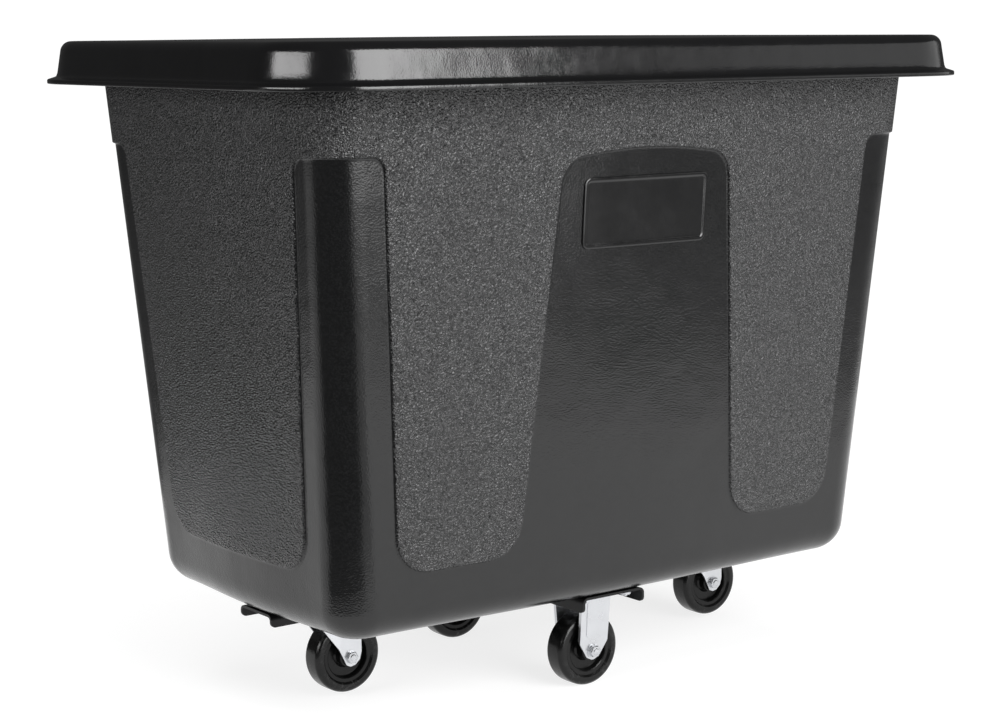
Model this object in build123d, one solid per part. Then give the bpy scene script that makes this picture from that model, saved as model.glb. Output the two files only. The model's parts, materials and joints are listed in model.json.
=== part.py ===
from build123d import *
import os
import math

# Bulk cube truck: a tapered moulded tub with a lift-off domed lid, carried on
# two steel channels that cross under the floor. Swivel casters sit at the two
# ends of the long channel, rigid casters at the two ends of the cross channel.
# +X is the long direction, -Y is the long front face, +Z is up. The origin is
# on the floor under the middle of the truck. All sizes are in millimetres.

# ---- driving dimensions -------------------------------------------------
# tub
FLOOR_Z = 123.5            # underside of the tub floor
RIM_Z = 766.7              # top of the tub rim
HALF_X_TOP, DRAFT_X, BOW_X = 434.9, 0.0715, 7.3    # half length at the rim
HALF_Y_TOP, DRAFT_Y, BOW_Y = 260.1, 0.0747, 8.1    # half width at the rim
STEP = 3.2                 # textured panels stand this proud of the pillars
TUB_CORNER = 52.0
TUB_WALL = 4.6
FLOOR_T = 5.0
BOTTOM_R = 34.0
RIM_OUT_X, RIM_OUT_Y, RIM_CORNER = 472.0, 297.0, 88.0
RIM_LIP_Z = 735.0
RIM_T = 4.5
# panels and pillars on the tub faces
BAND_Z = 652.2             # underside of the textured upper band
PANEL_Z = 196.6            # lower edge of the textured panels
PIL_TOP_X, PIL_BOT_X = 353.2, 320.6      # corner pillar edge on the long faces
MID_TOP_X, MID_BOT_X = 121.7, 160.7      # flared centre pillar edge
MID_SIDE_Z, MID_CROWN_Z = 638.5, 650.4   # arched top of the centre pillar
END_TOP_Y, END_BOT_Y = 185.3, 143.4      # pillar edge on the short faces
PANEL_R, PILLAR_R, ARCH_R = 44.0, 17.0, 34.0
# lid
LID_BRIM_Z = 722.2
LID_TOP_Z = 771.4
LID_CROWN = 2.2
LID_X, LID_Y, LID_R = 497.0, 322.0, 112.0
LID_LIP = 5.2
LID_FLANGE = 10.0
LID_T = 3.6
LID_DRAFT = 8.2            # inset of the wall from brim to top
LID_EDGE_R = 13.0
REST_GAP = 0.3
# nameplate
NP_W, NP_H, NP_Z, NP_T = 182.0, 80.0, 579.0, 2.0
# channels
CH_W, ARM_W, CH_T = 68.0, 93.0, 3.0
BEND_R = 7.0                # outside radius of the channel bends
CH_DEPTH, ARM_DEPTH = 14.5, 18.0
LONG_HALF = 373.0
CROSS_HALF = 195.0
# casters
WHEEL_R = 44.45
WHEEL_HALF = 14.6
TREAD_IN_R = 32.0
SWIVEL_X = 286.75          # kingpin axes at plus and minus this
TRAIL = 30.35
SWIVEL_LIFT = 7.0          # end wheels ride this high, so the truck rocks
RIGID_Y = 134.0
PLATE_T = 3.0
PLATE_L, PLATE_W = 94.0, 54.0          # swivel plate, along X and Y
BOLT_L, BOLT_W = 37.0, 19.0
RG_PLATE_X, RG_PLATE_Y = 76.0, 66.0    # rigid plate
RG_BOLT_X, RG_BOLT_Y = 30.0, 19.0
ARM_BOLT_X, ARM_BOLT_Y = 30.0, 178.5   # bolts at the ends of the cross arms
SW_IN, LEG_T = 17.2, 2.5
RG_AXLE_IN, RG_TOP_IN = 19.6, 26.5     # inside of a rigid leg at the axle and at the plate
RG_BOSS_IN, RG_BOSS_OUT = 19.0, 23.2   # flat bosses around the rigid axle
BUSH_R, BORE_R = 6.30, 6.36
AXLE_R = 4.0
BOLT_R = 4.0
HOLE_R = 4.3
PAD_R, PAD_H = 11.4, 5.4    # moulded pads around the bolts inside the tub

os.makedirs("parts", exist_ok=True)
CH_TOP = FLOOR_Z
WEB_Z = FLOOR_Z - CH_T                 # underside of the channel web
PLATE_Z = WEB_Z - PLATE_T              # underside of the caster plates
FLANGE_Z = FLOOR_Z - CH_DEPTH
ARM_Z = FLOOR_Z - ARM_DEPTH


def save(shape, node):
    shape.label = node
    export_step(shape, "parts/" + node + ".step")


def one(shape):
    s = shape.solids()
    return s[0] if len(s) == 1 else Compound(children=list(s))


def plan(hx, hy, r, z, bx=0.0, by=0.0):
    """Rounded rectangle whose sides bow outward by bx and by."""
    if bx or by:
        a = ThreePointArc((hx, -hy), (hx + bx, 0), (hx, hy))
        b = ThreePointArc((hx, hy), (0, hy + by), (-hx, hy))
        c = ThreePointArc((-hx, hy), (-hx - bx, 0), (-hx, -hy))
        d = ThreePointArc((-hx, -hy), (0, -hy - by), (hx, -hy))
        f = Face(Wire([a, b, c, d]))
        f = fillet(f.vertices(), r)
        f = f.faces()[0]
    else:
        f = RectangleRounded(2 * hx, 2 * hy, r).faces()[0]
    return f.moved(Location((0, 0, z)))


def tub_plan(z, inset, r):
    hx = HALF_X_TOP - (RIM_Z - z) * DRAFT_X - inset
    hy = HALF_Y_TOP - (RIM_Z - z) * DRAFT_Y - inset
    return plan(hx, hy, r, z, BOW_X, BOW_Y)


def hexagon(af, h, x, y, z, axis="Z"):
    p = extrude(RegularPolygon(af / 2, 6, major_radius=False), h)
    c = chamfer(p.faces().sort_by(Axis.Z)[-1].edges(), 0.7)
    return c.moved(Location((x, y, z)))


def cyl(r, z0, z1, x=0.0, y=0.0):
    return extrude(Circle(r), z1 - z0).moved(Location((x, y, z0)))


def box(x0, x1, y0, y1, z0, z1):
    return Solid.make_box(x1 - x0, y1 - y0, z1 - z0).moved(Location((x0, y0, z0)))


# ---- bolt places --------------------------------------------------------
bolt_xy = []
for s in (-1, 1):
    for i in (-1, 1):
        for j in (-1, 1):
            bolt_xy.append((s * SWIVEL_X + i * BOLT_L, j * BOLT_W))
            bolt_xy.append((i * RG_BOLT_X, s * RIGID_Y + j * RG_BOLT_Y))
for i in (-1, 1):
    for j in (-1, 1):
        bolt_xy.append((i * ARM_BOLT_X, j * ARM_BOLT_Y))
        bolt_xy.append((i * 130.0, j * 17.0))
holes = [cyl(HOLE_R, 100, 150, x, y) for x, y in bolt_xy]

# ---- tub ----------------------------------------------------------------
core = loft([tub_plan(FLOOR_Z, STEP, TUB_CORNER - 2), tub_plan(RIM_Z, STEP, TUB_CORNER - 2)], ruled=True)
low = core.faces().sort_by(Axis.Z)[0]
core = fillet(low.edges(), BOTTOM_R)
proud = loft([tub_plan(PANEL_Z - 30, 0, TUB_CORNER), tub_plan(RIM_Z, 0, TUB_CORNER)], ruled=True)


def front_region():
    """Textured area of a long face, in X and Z."""
    pts_l = [(-MID_TOP_X, MID_SIDE_Z), (-MID_BOT_X, PANEL_Z), (-PIL_BOT_X, PANEL_Z),
             (-PIL_TOP_X, BAND_Z), (-600, BAND_Z), (-600, 900)]
    pts_r = [(-x, z) for x, z in reversed(pts_l)]
    path = Polyline(*pts_l, *pts_r).edges()
    arch = ThreePointArc((MID_TOP_X, MID_SIDE_Z), (0, MID_CROWN_Z), (-MID_TOP_X, MID_SIDE_Z))
    f = Face(Wire(list(path) + [arch]))

    def at(x, z):
        return [v for v in f.vertices() if abs(abs(v.X) - x) < 0.1 and abs(v.Y - z) < 0.1]
    f = fillet(at(MID_TOP_X, MID_SIDE_Z), ARCH_R).faces()[0]
    f = fillet(at(MID_BOT_X, PANEL_Z) + at(PIL_BOT_X, PANEL_Z), PANEL_R).faces()[0]
    f = fillet(at(PIL_TOP_X, BAND_Z), PILLAR_R).faces()[0]
    return f


def end_region():
    """Textured area of a short face, in Y and Z."""
    pts = [(-END_BOT_Y, PANEL_Z), (END_BOT_Y, PANEL_Z), (END_TOP_Y, BAND_Z), (600, BAND_Z),
           (600, 900), (-600, 900), (-600, BAND_Z), (-END_TOP_Y, BAND_Z)]
    f = Face(Wire(Polyline(*pts, close=True).edges()))

    def at(x, z):
        return [v for v in f.vertices() if abs(abs(v.X) - x) < 0.1 and abs(v.Y - z) < 0.1]
    f = fillet(at(END_BOT_Y, PANEL_Z), PANEL_R).faces()[0]
    f = fillet(at(END_TOP_Y, BAND_Z), PILLAR_R).faces()[0]
    return f


keep = box(-600, 600, -400, 400, BAND_Z, 900)
fr = front_region()
long_prism = extrude(fr, 300, dir=(0, 0, 1)).rotate(Axis.X, 90)          # runs toward -Y
long_prism = long_prism & box(-PIL_TOP_X - 0.5, PIL_TOP_X + 0.5, -400, 0, 100, 900)
f1 = long_prism.moved(Location((0, -120, 0)))
f2 = f1.rotate(Axis.Z, 180)
er = end_region()
ends = extrude(er, 300, dir=(0, 0, 1)).rotate(Axis.X, 90).rotate(Axis.Z, -90)
ends = ends & box(-400, 0, -END_TOP_Y - 0.5, END_TOP_Y + 0.5, 100, 900)
e1 = ends.moved(Location((-250, 0, 0)))
e2 = e1.rotate(Axis.Z, 180)
outer = core
for cut in (keep, f1, f2, e1, e2):
    outer = outer + (proud & cut)
rim = extrude(plan(RIM_OUT_X, RIM_OUT_Y, RIM_CORNER, RIM_LIP_Z), RIM_Z - RIM_LIP_Z)
rim = fillet(rim.faces().sort_by(Axis.Z)[-1].edges(), 7)
rim_cut = extrude(plan(RIM_OUT_X - RIM_T, RIM_OUT_Y - RIM_T, RIM_CORNER - RIM_T, RIM_LIP_Z - 1), RIM_Z - RIM_T - RIM_LIP_Z + 1)
outer = outer + (rim - rim_cut)
inset = STEP + TUB_WALL
cavity = loft([tub_plan(FLOOR_Z + FLOOR_T, inset, TUB_CORNER - inset), tub_plan(RIM_Z + 1, inset, TUB_CORNER - inset)], ruled=True)
cavity = fillet(cavity.faces().sort_by(Axis.Z)[0].edges(), BOTTOM_R - 5)
tub = outer - cavity
for x, y in bolt_xy:
    tub = tub + cyl(PAD_R, FLOOR_Z, FLOOR_Z + FLOOR_T + PAD_H, x, y)
for h in holes:
    tub = tub - h
save(one(tub), "tub")

# ---- blank nameplate on the front centre pillar ---------------------------
tilt = math.degrees(math.atan(DRAFT_Y))
hy_np = HALF_Y_TOP - (RIM_Z - NP_Z) * DRAFT_Y - STEP + BOW_Y
np_f = RectangleRounded(NP_W, NP_H, 9)
plate = extrude(np_f, NP_T + 3)
plate = plate - extrude(RectangleRounded(NP_W - 10, NP_H - 10, 5), 2).moved(Location((0, 0, NP_T + 2.0)))
plate = plate.rotate(Axis.X, 90 + tilt).moved(Location((0, -hy_np + 3, NP_Z)))
save(one(plate - core), "blank_nameplate")

# ---- lid ------------------------------------------------------------------
wall_x, wall_y = LID_X - LID_FLANGE, LID_Y - LID_FLANGE
wall = loft([plan(wall_x, wall_y, LID_R - LID_FLANGE, LID_BRIM_Z),
             plan(wall_x - LID_DRAFT, wall_y - LID_DRAFT, LID_R - LID_FLANGE - 6, LID_TOP_Z)], ruled=True)
wall = fillet(wall.faces().sort_by(Axis.Z)[-1].edges(), LID_EDGE_R)
crown = loft([plan(430, 255, 50, LID_TOP_Z - 0.01), plan(330, 160, 40, LID_TOP_Z + LID_CROWN)], ruled=True)
brim = loft([plan(LID_X, LID_Y, LID_R, LID_BRIM_Z + LID_LIP),
             plan(wall_x - 1, wall_y - 1, LID_R - LID_FLANGE - 1, LID_BRIM_Z + LID_LIP + 3.6)], ruled=True)
lip = extrude(plan(LID_X, LID_Y, LID_R, LID_BRIM_Z), LID_LIP)
body = wall + crown + brim + lip
hollow = loft([plan(wall_x - LID_T, wall_y - LID_T, LID_R - LID_FLANGE - LID_T, LID_BRIM_Z - 1),
               plan(wall_x - LID_T - LID_DRAFT, wall_y - LID_T - LID_DRAFT, LID_R - LID_FLANGE - LID_T - 6,
                    RIM_Z + REST_GAP)], ruled=True)
hollow = fillet(hollow.faces().sort_by(Axis.Z)[-1].edges(), LID_EDGE_R - LID_T)
groove = extrude(plan(LID_X - 3, LID_Y - 3, LID_R - 3, LID_BRIM_Z - 1), 3.4)
lid = body - hollow - groove
save(one(lid), "lid")

# ---- channels under the floor ---------------------------------------------


def channel(half_w, x0, x1, bottom, ends):
    """Bent channel along X, open below; ends lists the X of rounded flange ends."""
    solid = box(x0, x1, -half_w, half_w, bottom, CH_TOP)
    solid = fillet([e for e in solid.edges() if abs(e.center().Z - CH_TOP) < 0.01 and abs(abs(e.center().Y) - half_w) < 0.01], BEND_R)
    inner = box(x0 - 1, x1 + 1, -half_w + CH_T, half_w - CH_T, bottom - 1, WEB_Z)
    inner = fillet([e for e in inner.edges() if abs(e.center().Z - WEB_Z) < 0.01 and abs(abs(e.center().Y) - half_w + CH_T) < 0.01], BEND_R - CH_T)
    solid = solid - inner
    for x in ends:
        s = 1 if x > (x0 + x1) / 2 else -1
        r = 6.0
        c = box(min(x, x - s * r), max(x, x - s * r), -half_w - 1, half_w + 1, bottom - 1, bottom + r)
        c = c - cyl(r, -half_w - 2, half_w + 2).rotate(Axis.X, 90).moved(Location((x - s * r, 0, bottom + r)))
        solid = solid - c
    return solid


def channel_long(half):
    return channel(CH_W / 2, -half, half, FLANGE_Z, [-half, half])


def channel_arm(sign):
    arm = channel(ARM_W / 2, CH_W / 2, CROSS_HALF, ARM_Z, [CROSS_HALF])
    return arm.rotate(Axis.Z, 90 * sign)


long_ch = channel_long(LONG_HALF)
arm_f = channel_arm(-1)
arm_r = channel_arm(1)
for h in holes:
    long_ch, arm_f, arm_r = long_ch - h, arm_f - h, arm_r - h
save(one(long_ch), "long_channel")
save(one(arm_f), "cross_arm_front")
save(one(arm_r), "cross_arm_rear")
beads = []
for sy in (-1, 1):
    for sx in (-1, 1):
        tri = Polyline((0, 0), (3.5, 0), (0, 3.5), close=True)
        bead = extrude(Face(Wire(tri.edges())), WEB_Z - FLANGE_Z - 2, dir=(0, 0, 1))
        # outside corner between the arm flange and the long channel flange
        rot = {(1, 1): 0, (-1, 1): 90, (-1, -1): 180, (1, -1): 270}[(sx, sy)]
        beads.append(bead.rotate(Axis.Z, rot).moved(Location((sx * ARM_W / 2, sy * CH_W / 2, FLANGE_Z + 1))))
save(Compound(children=[b.solids()[0] for b in beads]), "weld_beads")

# ---- floor bolts, washers and nuts ----------------------------------------
heads, washers, nuts = [], [], []
floor_in = FLOOR_Z + FLOOR_T + PAD_H
for k, (x, y) in enumerate(bolt_xy):
    low = PLATE_Z if k < 16 else WEB_Z
    shank = cyl(BOLT_R, low - 8.0, floor_in + 1.6, x, y)
    dome = Solid.make_sphere(12.0, angle1=-90, angle2=90, angle3=360).moved(Location((x, y, floor_in + 1.6 + 4.2 - 12.0)))
    dome = dome & box(x - 20, x + 20, y - 20, y + 20, floor_in + 1.6, floor_in + 8)
    heads.append((shank + dome).solids()[0])
    washers.append((cyl(10.5, floor_in, floor_in + 1.6, x, y) - cyl(HOLE_R, floor_in - 1, floor_in + 3, x, y)).solids()[0])
    nut = hexagon(13.0, 6.4, 0, 0, 0).rotate(Axis.X, 180).moved(Location((x, y, low)))
    nut = nut + cyl(8.6, low - 1.4, low, x, y)
    nuts.append((nut - cyl(BOLT_R + 0.02, low - 9, low + 1, x, y)).solids()[0])
save(Compound(children=heads), "floor_bolts")
save(Compound(children=washers), "floor_washers")
save(Compound(children=nuts), "floor_nuts")

# ---- casters ---------------------------------------------------------------


def face_xz(pts, rounds=None):
    return Face(Wire(Polyline(*pts, close=True).edges()))


def slab(face, y0, y1):
    """Extrude a face drawn in X and Z between two Y planes."""
    s = extrude(face, y1 - y0, dir=(0, 0, 1))   # drawn in XY, thick along Z
    return s.rotate(Axis.X, 90).moved(Location((0, y1, 0)))


def wheel(cx, cy, cz, hub_half):
    """Hard rubber tread on a moulded core with a raised hub, spun about Y."""
    w, flat = WHEEL_HALF, 8.6
    prof = Polyline((TREAD_IN_R, -12.0), (TREAD_IN_R, 12.0), (34.5, w), (38.3, w)).edges()
    side = ThreePointArc((38.3, w), (42.55, 12.85), (44.28, flat))
    arc = ThreePointArc((44.28, flat), (WHEEL_R, 0), (44.28, -flat))
    side2 = ThreePointArc((44.28, -flat), (42.55, -12.85), (38.3, -w))
    back = Polyline((38.3, -w), (34.5, -w), (TREAD_IN_R, -12.0)).edges()
    tread = revolve(Face(Wire(list(prof) + [side, arc, side2] + list(back))), Axis.Y)
    pts = [(BORE_R, -hub_half), (11.0, -hub_half), (12.5, -hub_half + 1.5), (13.5, -7.0), (15.5, -5.0), (25.5, -5.0),
           (27.0, -11.2), (28.0, -12.0), (TREAD_IN_R, -12.0)]
    full = pts + [(x, -y) for x, y in reversed(pts)]
    core_w = revolve(Face(Wire(Polyline(*full, close=True).edges())), Axis.Y)
    loc = Location((cx, cy, cz))
    return tread.moved(loc), core_w.moved(loc)


def axle_set(cx, cy, cz, inner, leg, out):
    """Bolt, nut and bush along Y; out is the side that the nut is on."""
    b = cyl(AXLE_R, -leg, leg + 5.6)
    b = chamfer(b.edges().filter_by(GeomType.CIRCLE).sort_by(Axis.Z)[-1], 0.8)
    head = hexagon(13.0, 4.8, 0, 0, 0).rotate(Axis.X, 180).moved(Location((0, 0, -leg)))
    bolt = b + head
    nut = hexagon(13.0, 4.6, 0, 0, leg) - cyl(AXLE_R + 0.02, leg - 1, leg + 9)
    bush = cyl(BUSH_R, -inner + 0.05, inner - 0.05) - cyl(AXLE_R + 0.1, -inner - 1, inner + 1)
    res = []
    for s in (bolt, nut, bush):
        s = s.rotate(Axis.X, 90 if out < 0 else -90)
        res.append(one(s.moved(Location((cx, cy, cz)))))
    return res


def swivel_caster(tag, px):
    ax, az = TRAIL, WHEEL_R + SWIVEL_LIFT
    crown_top, crown_bot = 105.3, 102.3
    # outline of one leg, relative to the kingpin: a slanted leading edge
    pts = [(-16.0, crown_top), (45.0, crown_top), (45.0, 56.0), (42.5, 47.0), (36.0, 41.0), (29.5, 39.8),
           (24.0, 42.2), (14.0, 62.6), (-6.0, 88.5), (-16.0, 99.0)]
    sil = face_xz(pts)
    sil = fillet([v for v in sil.vertices() if v.Y < 58.0], 3.0).faces()[0]
    sil = fillet([v for v in sil.vertices() if abs(v.Y - 88.5) < 0.1 or abs(v.Y - 62.6) < 0.1], 9.0).faces()[0]
    half = SW_IN + LEG_T
    # in plan the leading part of each leg is bent inward
    top_plan = [(45.0, -half), (45.0, half), (16.0, half), (-16.0, half - 3.5), (-16.0, -half + 3.5), (16.0, -half)]
    fork = extrude(Face(Wire(Polyline(*top_plan, close=True).edges())), crown_top - crown_bot, dir=(0, 0, 1)).moved(Location((0, 0, crown_bot)))
    band = [(45.0, SW_IN), (45.0, half), (16.0, half), (-16.0, half - 3.5), (-16.0, SW_IN - 3.5), (16.0, SW_IN)]
    edge = sil - offset(sil, -1.6)
    for sy in (-1, 1):
        f = Face(Wire(Polyline(*[(x, sy * y) for x, y in band], close=True).edges()))
        skin = extrude(f, 80, dir=(0, 0, 1)).moved(Location((0, 0, 30)))
        fork = fork + (skin & slab(sil, -30, 30))
        lo, hi = sorted((sy * (SW_IN - 1.2), sy * (SW_IN + 0.1)))
        fork = fork + (slab(edge.faces()[0], lo, hi) & box(38, 60, -30, 30, 67, 98))
    fork = fork + cyl(25.5, crown_bot, crown_top)
    fork = fork - cyl(5.06, 90, 115) - cyl(HOLE_R - 0.25, -60, 60).rotate(Axis.X, 90).moved(Location((ax, 0, az)))
    here = Location((px, 0, 0))
    save(one(fork.moved(here)), "swivel_fork_" + tag)
    # top plate with its pressed upper race and skirt
    plate = extrude(RectangleRounded(PLATE_L, PLATE_W, 8), PLATE_T).moved(Location((0, 0, PLATE_Z)))
    race = cyl(28.0, 107.0, PLATE_Z) - cyl(26.4, 100, 112.4) - cyl(17.0, 100, PLATE_Z + 1)
    plate = plate + race - cyl(5.05, 100, 130)
    for i in (-1, 1):
        for j in (-1, 1):
            plate = plate - cyl(HOLE_R, 100, 130, i * BOLT_L, j * BOLT_W)
    save(one(plate.moved(here)), "swivel_plate_" + tag)
    pin = cyl(5.0, 95.2, PLATE_Z + PLATE_T - 0.2) + cyl(8.0, 93.4, 95.2)
    pin = pin + cyl(7.0, PLATE_Z - 1.4, PLATE_Z)
    save(one(pin.moved(here)), "kingpin_" + tag)
    cup = cyl(15.0, 95.2, 97.7) + (cyl(15.0, 97.7, 100.2) - cyl(13.0, 97, 101)) - cyl(5.05, 90, 105)
    save(one(cup.moved(here)), "lower_race_" + tag)
    up, lowb = [], []
    for k in range(16):
        a = 2 * math.pi * k / 16
        up.append(Solid.make_sphere(3.2).moved(Location((px + 21.7 * math.cos(a), 21.7 * math.sin(a), 108.9))))
    for k in range(14):
        a = 2 * math.pi * k / 14
        lowb.append(Solid.make_sphere(1.9).moved(Location((px + 10.2 * math.cos(a), 10.2 * math.sin(a), 100.0))))
    save(Compound(children=up), "upper_balls_" + tag)
    save(Compound(children=lowb), "lower_balls_" + tag)
    bolt, nut, bush = axle_set(px + ax, 0, az, SW_IN - 0.02, half, -1)
    save(bolt, "swivel_axle_" + tag)
    save(nut, "swivel_axle_nut_" + tag)
    save(bush, "swivel_bush_" + tag)
    tread, core_w = wheel(px + ax, 0, az, SW_IN - 1.0)
    save(one(tread), "tread_" + tag)
    save(one(core_w), "wheel_core_" + tag)


def rigid_caster(tag, sy):
    az = WHEEL_R
    cy = sy * RIGID_Y
    lean = (RG_TOP_IN - RG_AXLE_IN) / (PLATE_Z - az)
    pts = [(-22.0, PLATE_Z + 1), (22.0, PLATE_Z + 1), (21.0, 55.0), (9.5, 37.0), (0.0, 32.5), (-9.5, 37.0), (-21.0, 55.0)]
    sil = face_xz(pts)
    sil = fillet([v for v in sil.vertices() if v.Y < 40.0], 7.0).faces()[0]
    sil = fillet([v for v in sil.vertices() if abs(v.Y - 55.0) < 0.1], 5.0).faces()[0]
    ring = (sil - offset(sil, -2.2)).faces()[0]
    panel = [(-13.5, PLATE_Z - 7.0), (13.5, PLATE_Z - 7.0), (12.0, 61.0), (-12.0, 61.0)]
    panel = face_xz(panel)
    panel = fillet(panel.vertices(), 6.0).faces()[0]
    fork = extrude(RectangleRounded(RG_PLATE_X, RG_PLATE_Y, 6), PLATE_T).moved(Location((0, 0, PLATE_Z)))
    for s in (-1, 1):
        # leg section in Y and Z, leaning out evenly from the axle to the plate
        def strip(t_in, t_out):
            lo = RG_AXLE_IN + lean * (20.0 - az)
            hi = RG_AXLE_IN + lean * (PLATE_Z + 0.5 - az)
            q = [(lo + t_in, 20.0), (lo + t_out, 20.0), (hi + t_out, PLATE_Z + 0.5), (hi + t_in, PLATE_Z + 0.5)]
            f = Face(Wire(Polyline(*q, close=True).edges()))
            e = extrude(f, 60, dir=(0, 0, 1)).rotate(Axis.X, 90).rotate(Axis.Z, 90)
            e = e.moved(Location((-e.bounding_box().center().X, 0, 0)))
            return e if s > 0 else e.mirror(Plane.XZ)
        fork = fork + (strip(0.0, LEG_T) & slab(sil, -80, 80))
        fork = fork + (strip(LEG_T - 0.1, LEG_T + 0.7) & slab(panel, -80, 80))
        fork = fork + (strip(-1.8, 0.2) & slab(ring, -80, 80) & box(-40, 40, -80, 80, 58, 130))
        boss = cyl(9.0, RG_BOSS_IN, RG_BOSS_OUT).rotate(Axis.X, -90 if s > 0 else 90).moved(Location((0, 0, az)))
        fork = fork + boss
    fork = fork - cyl(HOLE_R - 0.25, -60, 60).rotate(Axis.X, 90).moved(Location((0, 0, az)))
    fork = fork - cyl(1.5, -60, 60).rotate(Axis.X, 90).moved(Location((0, 0, PLATE_Z - 3.2)))
    for i in (-1, 1):
        for j in (-1, 1):
            fork = fork - cyl(HOLE_R, 100, 130, i * RG_BOLT_X, j * RG_BOLT_Y)
    save(one(fork.moved(Location((0, cy, 0)))), "rigid_fork_" + tag)
    bolt, nut, bush = axle_set(0, cy, az, RG_BOSS_IN - 0.02, RG_BOSS_OUT, sy)
    save(bolt, "rigid_axle_" + tag)
    save(nut, "rigid_axle_nut_" + tag)
    save(bush, "rigid_bush_" + tag)
    tread, core_w = wheel(0, cy, az, RG_BOSS_IN - 1.0)
    save(one(tread), "tread_" + tag)
    save(one(core_w), "wheel_core_" + tag)


swivel_caster("left", -SWIVEL_X)
swivel_caster("right", SWIVEL_X)
rigid_caster("front", -1)
rigid_caster("rear", 1)
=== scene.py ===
import math
import bpy
import bmesh
from mathutils import Vector, Matrix
from mathutils.geometry import delaunay_2d_cdt
import json


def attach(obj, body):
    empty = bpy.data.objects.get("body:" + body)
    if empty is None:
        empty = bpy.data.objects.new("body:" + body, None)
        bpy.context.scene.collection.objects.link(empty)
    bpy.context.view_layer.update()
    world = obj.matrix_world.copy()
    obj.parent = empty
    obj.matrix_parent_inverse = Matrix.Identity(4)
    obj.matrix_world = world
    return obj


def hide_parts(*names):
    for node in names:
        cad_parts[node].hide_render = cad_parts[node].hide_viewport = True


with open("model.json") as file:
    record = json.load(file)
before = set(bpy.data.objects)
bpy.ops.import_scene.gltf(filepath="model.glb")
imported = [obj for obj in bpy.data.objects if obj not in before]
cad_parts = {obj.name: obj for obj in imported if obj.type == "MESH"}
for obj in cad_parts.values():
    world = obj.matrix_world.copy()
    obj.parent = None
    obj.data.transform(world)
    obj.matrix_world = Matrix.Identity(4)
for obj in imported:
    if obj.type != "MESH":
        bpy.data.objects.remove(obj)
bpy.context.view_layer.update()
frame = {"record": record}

MM = 0.001
scene = bpy.context.scene


# ---------------------------------------------------------------------------
# helpers for materials
# ---------------------------------------------------------------------------
def new_mat(name):
    m = bpy.data.materials.new(name)
    m.use_nodes = True
    nt = m.node_tree
    bsdf = next(n for n in nt.nodes if n.type == "BSDF_PRINCIPLED")
    return m, nt, bsdf


def node(nt, kind, **kw):
    n = nt.nodes.new(kind)
    for k, v in kw.items():
        if k.startswith("in_"):
            n.inputs[k[3:].replace("_", " ")].default_value = v
        else:
            setattr(n, k, v)
    return n


def link(nt, a, b):
    nt.links.new(a, b)


def ramp(nt, fac, stops):
    r = nt.nodes.new("ShaderNodeValToRGB")
    els = r.color_ramp.elements
    while len(els) > 1:
        els.remove(els[-1])
    els[0].position = stops[0][0]
    els[0].color = stops[0][1]
    for p, c in stops[1:]:
        e = els.new(p)
        e.color = c
    nt.links.new(fac, r.inputs["Fac"])
    return r


def grey(v, a=1.0):
    return (v, v, v, a)


def mix_val(nt, fac, a, b):
    """Mix two numbers (sockets or floats) by a factor socket."""
    m = nt.nodes.new("ShaderNodeMix")
    m.data_type = "FLOAT"
    if hasattr(fac, "is_linked"):
        nt.links.new(fac, m.inputs[0])
    else:
        m.inputs[0].default_value = fac
    for i, v in ((2, a), (3, b)):
        if hasattr(v, "is_linked"):
            nt.links.new(v, m.inputs[i])
        else:
            m.inputs[i].default_value = v
    return m.outputs[0]


def mix_col(nt, fac, a, b):
    m = nt.nodes.new("ShaderNodeMix")
    m.data_type = "RGBA"
    if hasattr(fac, "is_linked"):
        nt.links.new(fac, m.inputs[0])
    else:
        m.inputs[0].default_value = fac
    for i, v in ((6, a), (7, b)):
        if hasattr(v, "is_linked"):
            nt.links.new(v, m.inputs[i])
        else:
            m.inputs[i].default_value = v
    return m.outputs[2]


def maths(nt, op, a, b=None, clamp=False):
    m = nt.nodes.new("ShaderNodeMath")
    m.operation = op
    m.use_clamp = clamp
    for i, v in ((0, a), (1, b)):
        if v is None:
            continue
        if hasattr(v, "is_linked"):
            nt.links.new(v, m.inputs[i])
        else:
            m.inputs[i].default_value = v
    return m.outputs[0]


def obj_coord(nt):
    return nt.nodes.new("ShaderNodeTexCoord").outputs["Object"]


def noise(nt, co, scale, detail=3.0, rough=0.5, dist=0.0):
    n = nt.nodes.new("ShaderNodeTexNoise")
    n.inputs["Scale"].default_value = scale
    n.inputs["Detail"].default_value = detail
    n.inputs["Roughness"].default_value = rough
    n.inputs["Distortion"].default_value = dist
    nt.links.new(co, n.inputs["Vector"])
    return n.outputs["Fac"]


def voronoi(nt, co, scale, feature="F1", smooth=0.3):
    n = nt.nodes.new("ShaderNodeTexVoronoi")
    n.feature = feature
    n.inputs["Scale"].default_value = scale
    if feature == "SMOOTH_F1":
        n.inputs["Smoothness"].default_value = smooth
    nt.links.new(co, n.inputs["Vector"])
    return n.outputs["Distance"]


def bump(nt, height, strength, distance, normal=None):
    b = nt.nodes.new("ShaderNodeBump")
    if hasattr(strength, "is_linked"):
        nt.links.new(strength, b.inputs["Strength"])
    else:
        b.inputs["Strength"].default_value = strength
    b.inputs["Distance"].default_value = distance
    nt.links.new(height, b.inputs["Height"])
    if normal is not None:
        nt.links.new(normal, b.inputs["Normal"])
    return b.outputs["Normal"]


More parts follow.
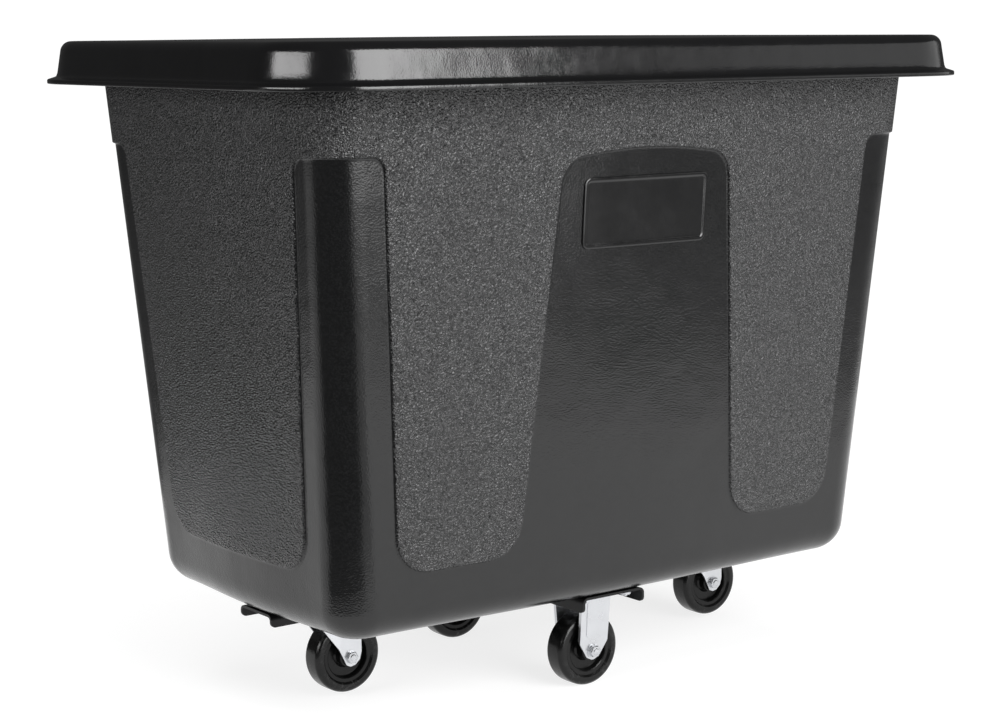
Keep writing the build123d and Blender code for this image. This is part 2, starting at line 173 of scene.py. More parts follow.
# ---------------------------------------------------------------------------
# tub sizes, in millimetres, the same as the frame's
# ---------------------------------------------------------------------------
FLOOR_Z, RIM_Z = 123.5, 766.7
HX_T, DX, BX = 434.9, 0.0715, 7.3
HY_T, DY, BY = 260.1, 0.0747, 8.1
STEP = 3.2
RC = 50.0                 # corner radius in plan
RB = 34.0                 # bottom edge radius
RI = 29.0                 # the same inside
BAND_Z, PANEL_Z = 652.2, 196.6
PIL_TOP_X, PIL_BOT_X = 353.2, 320.6
MID_TOP_X, MID_BOT_X = 121.7, 160.7
MID_SIDE_Z, MID_CROWN_Z = 638.5, 650.4
END_TOP_Y, END_BOT_Y = 185.3, 143.4
PANEL_R, PILLAR_R, ARCH_R = 44.0, 17.0, 34.0
RIM_X, RIM_Y, RIM_R = 472.0, 297.0, 88.0
RIM_LIP_Z, RIM_T = 735.0, 4.5
WALL = 4.6

SA, SC, SB = 360.0, 78.54, 200.0      # domain lengths: half front, corner, half end
ST = SA + SC + SB


def plan_point(s, z, inset):
    """Point and outward plan normal on the wall, quadrant x<=0, y<=0."""
    hx = HX_T - (RIM_Z - z) * DX
    hy = HY_T - (RIM_Z - z) * DY
    xc, yc = hx - RC, hy - RC
    if s <= SA:
        t = s / SA
        x = -t * xc
        # bow, flattened smoothly into the corner
        y = -(hy + BY * (1 - t * t) ** 1.0 * 1.0)
        n = Vector((-(2 * BY * t / xc) * 1.0, -1.0, 0.0)).normalized()
        y = -(hy + BY * (1 - t * t) ** 2)
        sl = -BY * 2 * (1 - t * t) * 2 * t / xc
        n = Vector((sl, -1.0, 0.0)).normalized()
    elif s <= SA + SC:
        a = (s - SA) / SC * math.pi / 2
        n = Vector((-math.sin(a), -math.cos(a), 0.0))
        x = -xc + RC * n.x
        y = -yc + RC * n.y
    else:
        t = 1.0 - (s - SA - SC) / SB
        y = -t * yc
        x = -(hx + BX * (1 - t * t) ** 2)
        sl = -BX * 2 * (1 - t * t) * 2 * t / yc
        n = Vector((-1.0, sl, 0.0)).normalized()
    return Vector((x, y, z)) - n * inset, n


def to_s(kind, w, z):
    """Domain coordinate of a point given by |x| on the front or |y| on the end."""
    hx = HX_T - (RIM_Z - z) * DX
    hy = HY_T - (RIM_Z - z) * DY
    if kind == "f":
        return w / (hx - RC) * SA
    return SA + SC + SB * (1.0 - w / (hy - RC))


def arc_corner(p0, p1, p2, r, n=10):
    """Points of a corner at p1 rounded with radius r."""
    a = Vector(p0) - Vector(p1)
    b = Vector(p2) - Vector(p1)
    a.normalize()
    b.normalize()
    half = a.angle(b) / 2
    d = r / math.tan(half)
    c = Vector(p1) + (a + b).normalized() * (r / math.sin(half))
    s0 = Vector(p1) + a * d - c
    s1 = Vector(p1) + b * d - c
    tot = s0.angle_signed(s1)
    out = []
    for k in range(n + 1):
        t = tot * k / n
        v = s0.copy()
        v.rotate(Matrix.Rotation(-t, 2))
        out.append(c + v)
    return out


def resample(pts, step):
    out = [pts[0].copy()]
    for a, b in zip(pts, pts[1:]):
        d = (b - a).length
        k = max(1, int(round(d / step)))
        for i in range(1, k + 1):
            out.append(a.lerp(b, i / k))
    return out


def boundary():
    """The panel outline through one quadrant: list of (kind, w, z) points."""
    V = Vector
    arch = []
    # arc through (0,crown) and (mid top, side)
    h = MID_CROWN_Z - MID_SIDE_Z
    R = (MID_TOP_X ** 2 + h * h) / (2 * h)
    for k in range(14):
        x = MID_TOP_X * k / 14
        arch.append(V((x, MID_CROWN_Z - R + math.sqrt(R * R - x * x))))
    xk = MID_TOP_X
    top_corner = V((xk, MID_SIDE_Z))
    before = arch[-1]
    c1 = arc_corner(before, top_corner, V((MID_BOT_X, PANEL_Z)), ARCH_R, 12)
    arch = [p for p in arch if p.x < c1[0].x - 2]
    c2 = arc_corner(top_corner, V((MID_BOT_X, PANEL_Z)), V((PIL_BOT_X, PANEL_Z)), PANEL_R, 16)
    c3 = arc_corner(V((MID_BOT_X, PANEL_Z)), V((PIL_BOT_X, PANEL_Z)), V((PIL_TOP_X, BAND_Z)), PANEL_R, 16)
    c4 = arc_corner(V((PIL_BOT_X, PANEL_Z)), V((PIL_TOP_X, BAND_Z)), V((PIL_TOP_X + 60, BAND_Z)), PILLAR_R, 12)
    front = arch + c1 + c2 + c3 + c4
    front = resample(front, 7.0)
    e1 = arc_corner(V((END_TOP_Y + 40, BAND_Z)), V((END_TOP_Y, BAND_Z)), V((END_BOT_Y, PANEL_Z)), PILLAR_R, 12)
    e2 = arc_corner(V((END_TOP_Y, BAND_Z)), V((END_BOT_Y, PANEL_Z)), V((0, PANEL_Z)), PANEL_R, 16)
    end = resample(e1 + e2 + [V((0, PANEL_Z))], 7.0)
    return front, end


OFFS = [(-3.8, 0.0), (-1.35, 0.0), (-0.95, 0.06), (-0.45, 0.30), (0.15, 0.70), (0.65, 0.94), (1.05, 1.0), (3.6, 1.0)]


def build_quadrant():
    """Offset lines of the panel outline in one quadrant: (h, list of (s, z)) for each offset."""
    z_lo, z_hi = 0.0, 1.0     # z rows are stored as real z between these below
    front, end = boundary()

    def offset_line(line, d, side):
        out = []
        n = len(line)
        for i, p in enumerate(line):
            a = line[max(i - 1, 0)]
            b = line[min(i + 1, n - 1)]
            t = (b - a).normalized()
            nrm = Vector((-t.y, t.x)) * side
            out.append(p + nrm * d)
        return out
    # textured side of the line: on the front the textured side lies to the
    # left of travel above the arch, found once by testing a point
    lines = []
    for d, h in OFFS:
        f = offset_line(front, d, 1.0)
        f[0].x = 0.0
        e = offset_line(end, d, -1.0)
        e[-1].x = 0.0
        seq = []
        for p in f:
            seq.append((to_s("f", p.x, p.y), p.y))
        # straight run round the corner at the band height
        s0, s1 = seq[-1][0], to_s("e", e[0].x, e[0].y)
        k = max(2, int((s1 - s0) / 2.6))
        zz0, zz1 = f[-1].y, e[0].y
        for i in range(1, k):
            seq.append((s0 + (s1 - s0) * i / k, zz0 + (zz1 - zz0) * i / k))
        for p in e:
            seq.append((to_s("e", p.x, p.y), p.y))
        lines.append((h, seq))
    return lines


def smooth_mesh(obj, angle=None):
    me = obj.data
    for p in me.polygons:
        p.use_smooth = True


def make_obj(name, verts, faces, mats, smooth=True):
    me = bpy.data.meshes.new(name)
    me.from_pydata([tuple(v) for v in verts], [], faces)
    me.validate()
    me.update()
    ob = bpy.data.objects.new(name, me)
    scene.collection.objects.link(ob)
    for m in (mats if isinstance(mats, (list, tuple)) else [mats]):
        me.materials.append(m)
    if smooth:
        for p in me.polygons:
            p.use_smooth = True
    return ob


def point_in(poly, x, y):
    inside = False
    n = len(poly)
    j = n - 1
    for i in range(n):
        xi, yi = poly[i]
        xj, yj = poly[j]
        if (yi > y) != (yj > y) and x < (xj - xi) * (y - yi) / (yj - yi) + xi:
            inside = not inside
        j = i
    return inside


def build_tub(mat):
    lines = build_quadrant()
    zt = 757.0                        # wall is welded to the rim at this height
    # wall bottom: where the bottom edge radius starts, per column
    def z_edge(s):
        return FLOOR_Z + RB
    ss = []
    n = 26
    for i in range(n + 1):
        ss.append(SA * i / n)
    nc = 26
    for i in range(1, nc + 1):
        ss.append(SA + SC * i / nc)
    nb = 15
    for i in range(1, nb + 1):
        ss.append(SA + SC + SB * i / nb)
    mid = lines[len(lines) // 2][1]
    # region polygon above the outline
    poly = [(0.0, 2000.0)] + [(0.0, mid[0][1])] + mid + [(ST, mid[-1][1]), (ST, 2000.0)]

    def dist_ok(s, z):
        for (a, b) in mid:
            if abs(a - s) < 9 and abs(b - z) < 9:
                if (a - s) ** 2 + (b - z) ** 2 < 52.0:
                    return False
        return True
    # grid in (s, q): q runs 0..1 from the bottom edge to zt; store true z
    pts, hs = [], []
    edges = []
    for h, seq in lines:
        base = len(pts)
        for (s, z) in seq:
            pts.append(Vector((s, z)))
            hs.append(h)
        for i in range(len(seq) - 1):
            edges.append((base + i, base + i + 1))
    nrow = 42
    zb = FLOOR_Z + RB + 4.0
    for s in ss:
        for k in range(nrow + 1):
            z = zb + (zt - zb) * k / nrow
            if k not in (0, nrow) and not dist_ok(s, z):
                continue
            pts.append(Vector((s, z)))
            hs.append(1.0 if point_in(poly, min(max(s, 0.01), ST - 0.01), z) else 0.0)
    res = delaunay_2d_cdt(pts, edges, [], 0, 1e-4)
    vc, fcs, orig = res[0], res[2], res[3]
    h2 = []
    for o in orig:
        h2.append(hs[o[0]] if o else 0.5)
    verts, faces, hh = [], [], []

    def add(v, h):
        verts.append(v)
        hh.append(h)
        return len(verts) - 1
    idx = []
    for v, h in zip(vc, h2):
        p, nrm = plan_point(v.x, v.y, STEP * (1.0 - h))
        idx.append(add(p, h))
    for f in fcs:
        if len(f) == 3:
            # drop slivers that lie on the domain edge
            a, b, c = (vc[i] for i in f)
            area = abs((b - a).cross(c - a))
            if area < 1e-5:
                continue
        faces.append([idx[i] for i in f])
    # columns at the bottom and top of the wall
    low = {}
    high = {}
    for i, v in enumerate(vc):
        if abs(v.y - zb) < 1e-3:
            low[round(v.x, 4)] = idx[i]
        if abs(v.y - zt) < 1e-3:
            high[round(v.x, 4)] = idx[i]
    cols = sorted(low)
    tops = sorted(high)

    def strip(prev, cur, flip=False):
        for i in range(len(prev) - 1):
            a, b, c, d = prev[i], prev[i + 1], cur[i + 1], cur[i]
            q = []
            for t in ((a, d, c, b) if flip else (a, b, c, d)):
                if t not in q:
                    q.append(t)
            if len(q) >= 3:
                faces.append(q)
    # bottom edge radius
    prev = [low[c] for c in cols]
    nf = 12
    for k in range(0, nf + 1):
        th = math.pi / 2 * k / nf
        cur = []
        for s in cols:
            ze = z_edge(s)
            ins = RB * (1 - math.cos(th))
            zz = ze - RB * math.sin(th)
            p0, nrm = plan_point(s, ze - RB * math.sin(th), 0.0)
            p = p0 - nrm * (STEP + ins)
            p.z = zz
            cur.append(add(p, 0.0))
        strip(prev, cur, True)
        prev = cur
    # floor underside: shrink toward the middle
    ring = [verts[i].copy() for i in prev]
    for k in range(1, 9):
        t = 1 - k / 8
        cur = []
        for v in ring:
            p = Vector((v.x * t, v.y * t, 0))
            p.z = FLOOR_Z
            cur.append(add(p, 0.0))
        strip(prev, cur, True)
        prev = cur
    # top: out under the rim, down the lip, over the rim and down inside
    def rim_pt(s, off, z):
        hx, hy, r = RIM_X + off, RIM_Y + off, RIM_R + off
        xc, yc = hx - r, hy - r
        if s <= SA:
            return Vector((-s / SA * xc, -hy, z))
        if s <= SA + SC:
            a = (s - SA) / SC * math.pi / 2
            return Vector((-xc - r * math.sin(a), -yc - r * math.cos(a), z))
        t = 1.0 - (s - SA - SC) / SB
        return Vector((-hx, -t * yc, z))
    prev = [high[c] for c in tops]
    rows = []
    under = RIM_Z - RIM_T
    for off, z in ((-26, under), (-7.5, under), (-5.2, under - 0.8), (-4.5, under - 3), (-4.5, RIM_LIP_Z + 1.2),
                   (-3.6, RIM_LIP_Z + 0.2), (-2.2, RIM_LIP_Z), (-0.9, RIM_LIP_Z + 0.2), (0.0, RIM_LIP_Z + 1.2),
                   (0.0, RIM_Z - 7), (-0.5, RIM_Z - 4.3), (-2.05, RIM_Z - 2.05), (-4.3, RIM_Z - 0.5), (-7, RIM_Z)):
        rows.append([rim_pt(s, off, z) for s in tops])
    for s in (0,):
        pass
    # join: wall up to the underside with a small radius
    for dz, out in ((3.0, 0.9), (4.6, 2.6), (5.2, 5.5)):
        r = []
        for s in tops:
            p, nrm = plan_point(s, zt, -out)
            p.z = zt + dz
            r.append(p)
        rows.insert(0 if dz == 3.0 else (1 if dz == 4.6 else 2), r)
    inner = STEP + WALL
    for ins, z in ((inner - 5.0, RIM_Z), (inner - 2.2, RIM_Z - 0.6), (inner - 0.6, RIM_Z - 2.2), (inner, RIM_Z - 5.0)):
        r = []
        for s in tops:
            p, nrm = plan_point(s, RIM_Z, ins)
            p.z = z
            r.append(p)
        rows.append(r)
    zi = FLOOR_Z + 5.0 + RI + 4.0
    for k in range(1, 15):
        z = RIM_Z - 5.0 + (zi - RIM_Z + 5.0) * k / 14
        rows.append([plan_point(s, z, inner)[0] for s in tops])
    for k in range(0, 9):
        th = math.pi / 2 * k / 8
        r = []
        for s in tops:
            z = FLOOR_Z + 5.0 + RI - RI * math.sin(th)
            p0, nrm = plan_point(s, z, inner + RI * (1 - math.cos(th)))
            r.append(p0)
        rows.append(r)
    last = [v.copy() for v in rows[-1]]
    for k in range(1, 9):
        t = 1 - k / 8
        r = []
        for v in last:
            p = Vector((v.x * t, v.y * t, 0))
            p.z = FLOOR_Z + 5.0
            r.append(p)
        rows.append(r)
    for k, row in enumerate(rows):
        cur = [add(p, 1.0 if k < 3 else 0.0) for p in row]
        strip(prev, cur, False)
        prev = cur
    # four mirrored quadrants welded at the middle planes
    nv = len(verts)
    allv, allf, allh = [], [], []
    for sx, sy in ((1, 1), (-1, 1), (-1, -1), (1, -1)):
        o = len(allv)
        for v, h in zip(verts, hh):
            allv.append((v.x * sx * MM, v.y * sy * MM, v.z * MM))
            allh.append(h)
        flip = sx * sy < 0
        for f in faces:
            g = [i + o for i in f]
            allf.append(g[::-1] if flip else g)
    ob = make_obj("tub_shell", allv, allf, mat)
    me = ob.data
    at = me.attributes.new("grain", "FLOAT", "POINT")
    if len(me.vertices) == len(allh):
        at.data.foreach_set("value", allh)
    bm = bmesh.new()
    bm.from_mesh(me)
    bmesh.ops.remove_doubles(bm, verts=bm.verts, dist=2e-5)
    bmesh.ops.dissolve_degenerate(bm, edges=bm.edges, dist=1e-6)
    bmesh.ops.recalc_face_normals(bm, faces=bm.faces)
    bm.to_mesh(me)
    bm.free()
    for p in me.polygons:
        p.use_smooth = True
    return ob


# ---------------------------------------------------------------------------
# lid and nameplate
# ---------------------------------------------------------------------------
def rounded_ring(hx, hy, r, z, nc=18, nx=18, ny=10):
    """Closed loop of points round a rounded rectangle, the same count for any size."""
    xc, yc = hx - r, hy - r
    pts = []
    for k in range(nc):
        a = math.pi / 2 * k / nc
        pts.append((xc + r * math.cos(a), yc + r * math.sin(a), z))
    for k in range(nx):
        t = k / nx
        pts.append((xc - 2 * xc * t, yc + r, z))
    for k in range(nc):
        a = math.pi / 2 * (1 + k / nc)
        pts.append((-xc + r * math.cos(a), yc + r * math.sin(a), z))
    for k in range(ny):
        t = k / ny
        pts.append((-xc - r, yc - 2 * yc * t, z))
    for k in range(nc):
        a = math.pi / 2 * (2 + k / nc)
        pts.append((-xc + r * math.cos(a), -yc + r * math.sin(a), z))
    for k in range(nx):
        t = k / nx
        pts.append((-xc + 2 * xc * t, -yc - r, z))
    for k in range(nc):
        a = math.pi / 2 * (3 + k / nc)
        pts.append((xc + r * math.cos(a), -yc + r * math.sin(a), z))
    for k in range(ny):
        t = k / ny
        pts.append((xc + r, -yc + 2 * yc * t, z))
    return pts


def loft_rings(rings, cap_first=None, cap_last=None):
    """Quads between rings; a cap is a point that closes the first or last ring."""
    verts, faces = [], []
    n = len(rings[0])
    for r in rings:
        verts.extend(r)
    for k in range(len(rings) - 1):
        for i in range(n):
            j = (i + 1) % n
            faces.append((k * n + i, k * n + j, (k + 1) * n + j, (k + 1) * n + i))
    if cap_first is not None:
        c = len(verts)
        verts.append(cap_first)
        for i in range(n):
            faces.append((c, (i + 1) % n, i))
    if cap_last is not None:
        c = len(verts)
        verts.append(cap_last)
        o = (len(rings) - 1) * n
        for i in range(n):
            faces.append((o + i, o + (i + 1) % n, c))
    return verts, faces


LID_X, LID_Y, LID_R = 497.0, 322.0, 112.0
BRIM_Z, LTOP_Z, CROWN = 722.2, 771.4, 2.2


def build_lid(mat):
    prof = []
    # inside: ceiling, fillet and wall down to the flange underside
    ceil = RIM_Z + 0.3
    di = lambda z: 13.6 + 8.2 * (z - 721.2) / 45.8
    ai = math.atan(8.2 / 45.8)
    ri = 9.4
    zc = ceil - ri
    dc = di(zc) + ri / math.cos(ai)
    for k in range(9):
        th = math.pi / 2 + (ai - math.pi / 2) * k / 8
        prof.append((dc - ri * math.cos(th), zc + ri * math.sin(th)))
    for z in (750.0, 741.0, 733.0, 727.4):
        prof.append((di(z), z))
    prof += [(13.9, 725.6), (13.0, 724.8), (11.8, 724.6), (4.2, 724.6), (3.4, 724.3), (3.0, 723.7), (2.9, 723.0),
             (2.5, 722.45), (1.6, 722.2), (0.8, 722.3), (0.2, 722.8), (0.0, 723.5), (0.0, 726.0), (0.2, 726.9),
             (0.8, 727.5), (1.8, 727.85), (5.0, 728.9), (8.6, 730.0), (9.9, 730.6), (10.8, 731.5), (11.4, 732.9)]
    ao = math.atan(8.2 / 49.2)
    do = lambda z: 10.0 + 8.2 * (z - 722.2) / 49.2
    prof += [(do(z), z) for z in (735.0, 742.0, 750.0, 756.0)]
    ro = 13.0
    zo = LTOP_Z - ro
    dco = do(zo) + ro / math.cos(ao)
    for k in range(13):
        th = ao + (math.pi / 2 - ao) * k / 12
        prof.append((dco - ro * math.cos(th), zo + ro * math.sin(th)))
    rings = []
    d0 = prof[0][0]
    nin = 8
    for k in range(1, nin):
        t = k / nin
        rings.append(rounded_ring((LID_X - d0) * t, (LID_Y - d0) * t, (LID_R - d0) * t, ceil))
    for d, z in prof:
        rings.append(rounded_ring(LID_X - d, LID_Y - d, LID_R - d, z))
    d1 = prof[-1][0]
    nt = 14
    for k in range(1, nt):
        t = 1 - k / nt
        z = LTOP_Z + CROWN * (1 - t * t) ** 1.5
        rings.append(rounded_ring((LID_X - d1) * t, (LID_Y - d1) * t, (LID_R - d1) * t, z))
    v, f = loft_rings(rings, (0, 0, ceil), (0, 0, LTOP_Z + CROWN))
    v = [(a * MM, b * MM, c * MM) for a, b, c in v]
    return make_obj("lid_shell", v, f, mat)


NP_W, NP_H, NP_Z = 182.0, 80.0, 579.0


def build_nameplate(mat):
    """Raised blank plate with a rounded border, laid on the bowed pillar face."""
    prof = [(0.0, -1.2), (0.0, 1.2), (0.25, 1.75), (0.85, 2.0), (3.4, 2.0), (4.1, 1.85), (4.7, 1.4), (5.3, 1.1), (6.2, 1.0), (8.0, 1.0)]
    rings = []

    def ring(d, h):
        out = []
        r = max(9.0 - d, 2.0)
        for u, w, _ in rounded_ring(NP_W / 2 - d, NP_H / 2 - d, r, 0, 8, 16, 6):
            z = NP_Z + w
            s = to_s("f", abs(u), z)
            p, n = plan_point(s, z, STEP - h)
            p.x = u
            out.append((p.x, p.y, p.z))
        return out
    for d, h in prof:
        rings.append(ring(d, h))
    d1 = prof[-1][0]
    for k in range(1, 6):
        t = 1 - k / 6
        out = []
        for u, w, _ in rounded_ring((NP_W / 2 - d1) * t, (NP_H / 2 - d1) * t, 2.0 * t, 0, 8, 16, 6):
            z = NP_Z + w
            p, n = plan_point(to_s("f", abs(u), z), z, STEP - 1.0)
            out.append((u, p.y, z))
        rings.append(out)
    p, n = plan_point(0.0, NP_Z, STEP - 1.0)
    v, f = loft_rings(rings, None, (0, p.y, NP_Z))
    v = [(a * MM, b * MM, c * MM) for a, b, c in v]
    ob = make_obj("nameplate_blank", v, f, mat)
    bm = bmesh.new()
    bm.from_mesh(ob.data)
    bmesh.ops.recalc_face_normals(bm, faces=bm.faces)
    bm.to_mesh(ob.data)
    bm.free()
    return ob


# ---------------------------------------------------------------------------
# materials
# ---------------------------------------------------------------------------
def mat_tub():
    m, nt, b = new_mat("tub_plastic")
    co = obj_coord(nt)
    g = nt.nodes.new("ShaderNodeAttribute")
    g.attribute_name = "grain"
    grain = g.outputs["Fac"]
    # moulded black with very faint mottling
    n1 = noise(nt, co, 9.0, 4.0, 0.6)
    base = mix_col(nt, n1, (0.0024, 0.0025, 0.0026, 1), (0.0038, 0.0039, 0.0041, 1))
    # painted glints: a random cell pattern lightens the base colour of single grains, more on the textured panels than
    # on the smooth pillars, standing in for light sparkling off the grain
    cell = nt.nodes.new("ShaderNodeTexVoronoi")
    cell.inputs["Scale"].default_value = 640.0
    link(nt, co, cell.inputs["Vector"])
    sep = nt.nodes.new("ShaderNodeSeparateColor")
    link(nt, cell.outputs["Color"], sep.inputs[0])
    painted_glint_speck = ramp(nt, sep.outputs[0], [(0.35, grey(0.0)), (1.0, grey(1.0))])
    # the painted glint specks are mixed into the base colour here
    col = mix_col(nt, maths(nt, "MULTIPLY", painted_glint_speck.outputs["Color"], maths(nt, "ADD", maths(nt, "MULTIPLY", grain, 0.85), 0.15)), base, (0.030, 0.030, 0.031, 1))
    link(nt, col, b.inputs["Base Color"])
    n2 = noise(nt, co, 34.0, 3.0, 0.55)
    rs = ramp(nt, n2, [(0.25, grey(0.15)), (0.75, grey(0.20))])
    rg = ramp(nt, n2, [(0.25, grey(0.15)), (0.75, grey(0.20))])
    link(nt, mix_val(nt, grain, rs.outputs["Color"], rg.outputs["Color"]), b.inputs["Roughness"])
    # pebble grain: rounded grains with finer ones between, fainter on the
    # smooth pillars and bands
    v1 = noise(nt, co, 520.0, 0.4, 0.5)
    v2 = voronoi(nt, co, 560.0, "SMOOTH_F1", 0.6)
    hgt = maths(nt, "ADD", maths(nt, "MULTIPLY", v1, 1.0), maths(nt, "MULTIPLY", v2, 0.45))
    st = maths(nt, "ADD", maths(nt, "MULTIPLY", grain, 0.90), 0.10)
    nb = bump(nt, hgt, st, 0.0020)
    # slow waviness of a thin moulding, everywhere
    n3 = noise(nt, co, 6.0, 2.0, 0.5)
    nb = bump(nt, n3, 0.5, 0.005, nb)
    n4 = noise(nt, co, 16.0, 2.0, 0.5)
    nb = bump(nt, n4, 0.5, 0.0022, nb)
    link(nt, nb, b.inputs["Normal"])
    b.inputs["Specular IOR Level"].default_value = 0.5
    return m


def mat_lid():
    m, nt, b = new_mat("lid_plastic")
    co = obj_coord(nt)
    n1 = noise(nt, co, 20.0, 4.0, 0.6)
    link(nt, mix_col(nt, n1, (0.0036, 0.0036, 0.0038, 1), (0.0052, 0.0052, 0.0055, 1)), b.inputs["Base Color"])
    n2 = noise(nt, co, 45.0, 3.0, 0.6)
    r = ramp(nt, n2, [(0.3, grey(0.13)), (0.7, grey(0.19))])
    link(nt, r.outputs["Color"], b.inputs["Roughness"])
    # satin skin, then the slow ripple of a thin moulding
    nb = bump(nt, noise(nt, co, 560.0, 1.0, 0.5), 0.30, 0.0004)
    nb = bump(nt, noise(nt, co, 22.0, 2.0, 0.55), 0.5, 0.0016, nb)
    nb = bump(nt, noise(nt, co, 7.0, 2.0, 0.5), 0.5, 0.0030, nb)
    link(nt, nb, b.inputs["Normal"])
    return m


def mat_tread():
    """Hard black rubber: glossy skin with scuffs where it has rolled."""
    m, nt, b = new_mat("tread_rubber")
    co = obj_coord(nt)
    n1 = noise(nt, co, 150.0, 5.0, 0.75, 0.6)
    scuff = ramp(nt, n1, [(0.50, grey(0.0)), (0.68, grey(1.0))]).outputs["Color"]
    n2 = noise(nt, co, 40.0, 3.0, 0.6)
    patch = ramp(nt, n2, [(0.45, grey(0.0)), (0.65, grey(1.0))]).outputs["Color"]
    wear = maths(nt, "MULTIPLY", scuff, patch)
    link(nt, mix_col(nt, wear, (0.0038, 0.0038, 0.0038, 1), (0.030, 0.030, 0.030, 1)), b.inputs["Base Color"])
    link(nt, mix_val(nt, wear, 0.20, 0.50), b.inputs["Roughness"])
    b.inputs["Specular IOR Level"].default_value = 0.28
    nb = bump(nt, n1, 0.25, 0.0007)
    nb = bump(nt, noise(nt, co, 700.0, 2.0, 0.6), 0.15, 0.0003, nb)
    link(nt, nb, b.inputs["Normal"])
    return m


def mat_simple(name, col, rough, metal=0.0, scale=60.0, amp=0.05, bmp=0.1, dist=0.0004, spec=0.5):
    m, nt, b = new_mat(name)
    co = obj_coord(nt)
    n1 = noise(nt, co, scale, 4.0, 0.6)
    c0 = tuple(c * (1 - amp * 2) for c in col) + (1,)
    c1 = tuple(min(1, c * (1 + amp * 2)) for c in col) + (1,)
    link(nt, mix_col(nt, n1, c0, c1), b.inputs["Base Color"])
    r = ramp(nt, n1, [(0.3, grey(max(0.02, rough - 0.05))), (0.7, grey(rough + 0.06))])
    link(nt, r.outputs["Color"], b.inputs["Roughness"])
    b.inputs["Metallic"].default_value = metal
    b.inputs["Specular IOR Level"].default_value = spec
    n2 = noise(nt, co, scale * 12, 3.0, 0.6)
    link(nt, bump(nt, n2, bmp, dist), b.inputs["Normal"])
    return m


M = {}
M["tub_plastic"] = mat_tub()
M["lid_plastic"] = mat_lid()
M["nameplate_plastic"] = mat_simple("nameplate_plastic", (0.0032, 0.0032, 0.0034), 0.17, 0, 30, 0.06, 0.08, 0.0005)
M["channel_paint"] = mat_simple("channel_paint", (0.0045, 0.0045, 0.0048), 0.36, 0, 60, 0.1, 0.2, 0.0004, 0.25)
M["zinc_fork"] = mat_simple("zinc_fork", (0.60, 0.61, 0.63), 0.30, 1.0, 45, 0.02, 0.04, 0.0003)
M["zinc_hardware"] = mat_simple("zinc_hardware", (0.56, 0.57, 0.59), 0.25, 1.0, 140, 0.06, 0.1, 0.0003)
M["ball_steel"] = mat_simple("ball_steel", (0.75, 0.75, 0.76), 0.12, 1.0, 100, 0.02, 0.02, 0.0002)
M["wheel_core_plastic"] = mat_simple("wheel_core_plastic", (0.0035, 0.0035, 0.0035), 0.22, 0, 80, 0.1, 0.10, 0.0003, 0.25)
M["tread_rubber"] = mat_tread()
M["bush_steel"] = mat_simple("bush_steel", (0.5, 0.5, 0.51), 0.3, 1.0, 120, 0.05, 0.1, 0.0003)

rec = frame["record"]
for sp in rec["subparts"]:
    ob = bpy.data.objects.get(sp["node"])
    if ob is None:
        continue
    me = ob.data
    mt = M[sp["material_slot"]]
    if len(ob.material_slots) == 0:
        me.materials.append(mt)
    for sl in ob.material_slots:
        sl.material = mt

tub = build_tub(M["tub_plastic"])
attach(tub, "truck")
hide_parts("tub")

lid = build_lid(M["lid_plastic"])
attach(lid, "lid")
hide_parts("lid")

npl = build_nameplate(M["nameplate_plastic"])
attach(npl, "truck")
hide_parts("blank_nameplate")

# ---------------------------------------------------------------------------
# floor, light and camera
# ---------------------------------------------------------------------------
fm, fnt, fb = new_mat("studio_floor")
fb.inputs["Base Color"].default_value = (0.26, 0.26, 0.26, 1)
fb.inputs["Roughness"].default_value = 0.9
fb.inputs["Specular IOR Level"].default_value = 0.1
fb.inputs["Emission Color"].default_value = (1, 1, 1, 1)
fb.inputs["Emission Strength"].default_value = 0.80


def by_angle(deg, table):
    """Value at an azimuth from (degrees, value) pairs, eased between them."""
    for (a0, v0), (a1, v1) in zip(table, table[1:]):
        if a0 <= deg <= a1:
            t = (deg - a0) / (a1 - a0)
            return v0 + (v1 - v0) * t * t * (3 - 2 * t)
    return table[-1][1]


# a round lit floor, short toward the viewer where the studio is dark
fpts = []
for k in range(180):
    d = 2.0 * k
    r = by_angle(d, [(0, 2.0), (60, 1.8), (105, 1.15), (122, 1.2), (132, 2.1), (154, 2.1), (164, 0.72), (256, 0.72), (268, 1.8), (300, 1.7), (330, 1.7), (360, 2.0)])
    fpts.append((r * math.cos(math.radians(d)), r * math.sin(math.radians(d))))
floor = make_obj("studio_floor", [(x, y, 0) for x, y in fpts], [tuple(range(len(fpts)))], fm, False)

CAM = Vector((-1.63827, -2.16417, 0.78335))
az, el, roll = (math.radians(v) for v in (-36.792, 8.519, -0.405))
back = Vector((math.sin(az) * math.cos(el), -math.cos(az) * math.cos(el), math.sin(el)))
right = Vector((0, 0, 1)).cross(back).normalized()
up = back.cross(right)
r2 = right * math.cos(roll) + up * math.sin(roll)
u2 = -right * math.sin(roll) + up * math.cos(roll)
cd = bpy.data.cameras.new("camera")
cd.sensor_width = 36.0
cd.sensor_fit = "HORIZONTAL"
cd.lens = 80.22
cam = bpy.data.objects.new("camera", cd)
cam.matrix_world = Matrix(((r2.x, u2.x, back.x, CAM.x), (r2.y, u2.y, back.y, CAM.y), (r2.z, u2.z, back.z, CAM.z), (0, 0, 0, 1)))
scene.collection.objects.link(cam)
scene.camera = cam
cd.clip_end = 60


def area(name, az_deg, el_deg, dist, sx, sy, power, target=(0, 0, 0.4), color=(1, 1, 1)):
    a, e = math.radians(az_deg), math.radians(el_deg)
    d = Vector((math.cos(a) * math.cos(e), math.sin(a) * math.cos(e), math.sin(e)))
    pos = Vector(target) + d * dist
    ld = bpy.data.lights.new(name, "AREA")
    ld.shape = "RECTANGLE"
    ld.size, ld.size_y = sx, sy
    ld.energy = power
    ld.color = color
    ob = bpy.data.objects.new(name, ld)
    ob.location = pos
    ob.rotation_euler = (-d).to_track_quat("-Z", "Y").to_euler()
    scene.collection.objects.link(ob)
    return ob


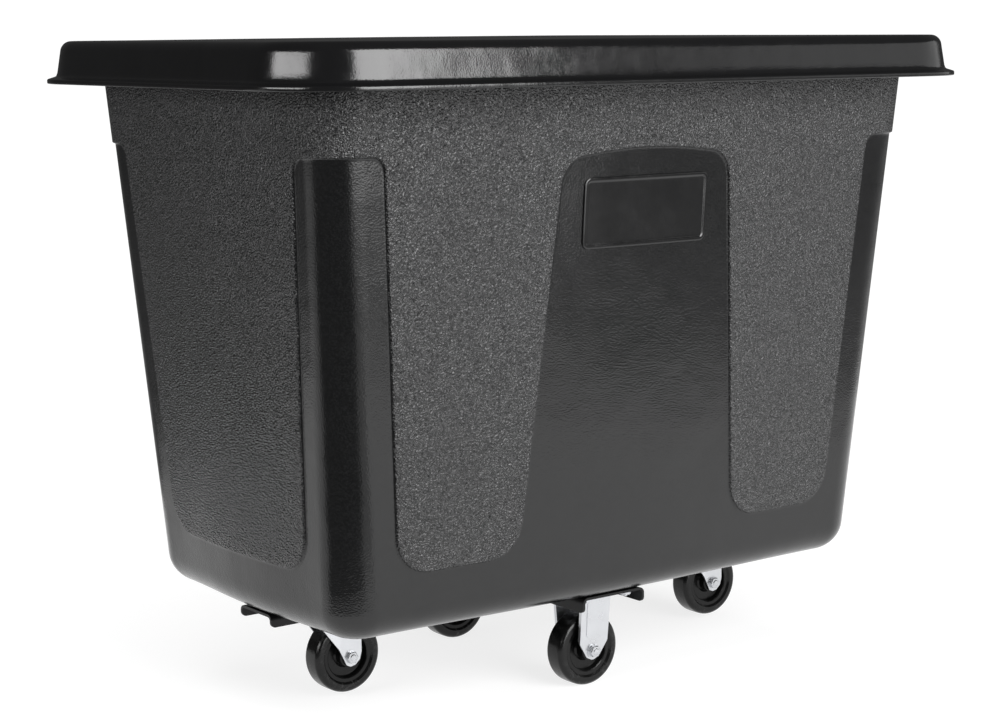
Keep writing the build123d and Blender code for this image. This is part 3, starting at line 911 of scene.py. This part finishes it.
area("softbox_left", 184, 18, 3.0, 2.1, 0.88, 48, (0, 0, 0.3))
area("softbox_right", 277, 22, 3.0, 2.3, 2.0, 138, (0, 0, 0.3))
area("softbox_right_low", 278, -1.0, 3.0, 2.3, 0.5, 12, (0, 0, 0.3))
area("fill_right", 334, 14, 3.2, 2.9, 1.2, 9, (0, 0, 0.3))
sd = bpy.data.lights.new("overhead", "SUN")
sd.energy = 2.1
sd.angle = math.radians(50)
so = bpy.data.objects.new("overhead", sd)
so.rotation_euler = (math.radians(8), math.radians(-6), 0)
so.visible_glossy = False
scene.collection.objects.link(so)

# studio surroundings: dim above, a pale sweep below that fades toward the
# horizon and is dark on the viewer's side; the backdrop itself is plain white
w = bpy.data.worlds.new("studio")
w.use_nodes = True
scene.world = w
wn = w.node_tree
bg = next(n for n in wn.nodes if n.type == "BACKGROUND")
bg.inputs["Color"].default_value = (1, 1, 1, 1)
wt = wn.nodes.new("ShaderNodeTexCoord")
ws = wn.nodes.new("ShaderNodeSeparateXYZ")
wn.links.new(wt.outputs["Generated"], ws.inputs[0])
dx, dy, dz = ws.outputs


az01 = maths(wn, "FRACT", maths(wn, "DIVIDE", maths(wn, "ARCTAN2", dy, dx), 2 * math.pi))
side = ramp(wn, az01, [(a / 360.0, grey(v)) for a, v in ((0, 0.8), (60, 0.6), (100, 0.14), (122, 0.14), (131, 1.0), (155, 1.0), (162, 0.08), (257, 0.08), (266, 0.8), (300, 0.5), (330, 0.5), (359, 0.7))])
low = ramp(wn, maths(wn, "MULTIPLY", dz, -1.0), [(0.0, grey(0.0)), (0.08, grey(0.10)), (0.14, grey(0.45)), (0.22, grey(0.9)), (0.35, grey(1.0))])
lw = maths(wn, "MULTIPLY", low.outputs["Color"], side.outputs["Color"])
st = maths(wn, "ADD", maths(wn, "MULTIPLY", lw, 0.95), 0.06)
wn.links.new(st, bg.inputs["Strength"])
bw = wn.nodes.new("ShaderNodeBackground")
bw.inputs["Color"].default_value = (1, 1, 1, 1)
bw.inputs["Strength"].default_value = 1.05
lp = wn.nodes.new("ShaderNodeLightPath")
mx = wn.nodes.new("ShaderNodeMixShader")
out = next(n for n in wn.nodes if n.type == "OUTPUT_WORLD")
wn.links.new(lp.outputs["Is Camera Ray"], mx.inputs[0])
wn.links.new(bg.outputs[0], mx.inputs[1])
wn.links.new(bw.outputs[0], mx.inputs[2])
wn.links.new(mx.outputs[0], out.inputs["Surface"])

scene.view_settings.view_transform = "Standard"
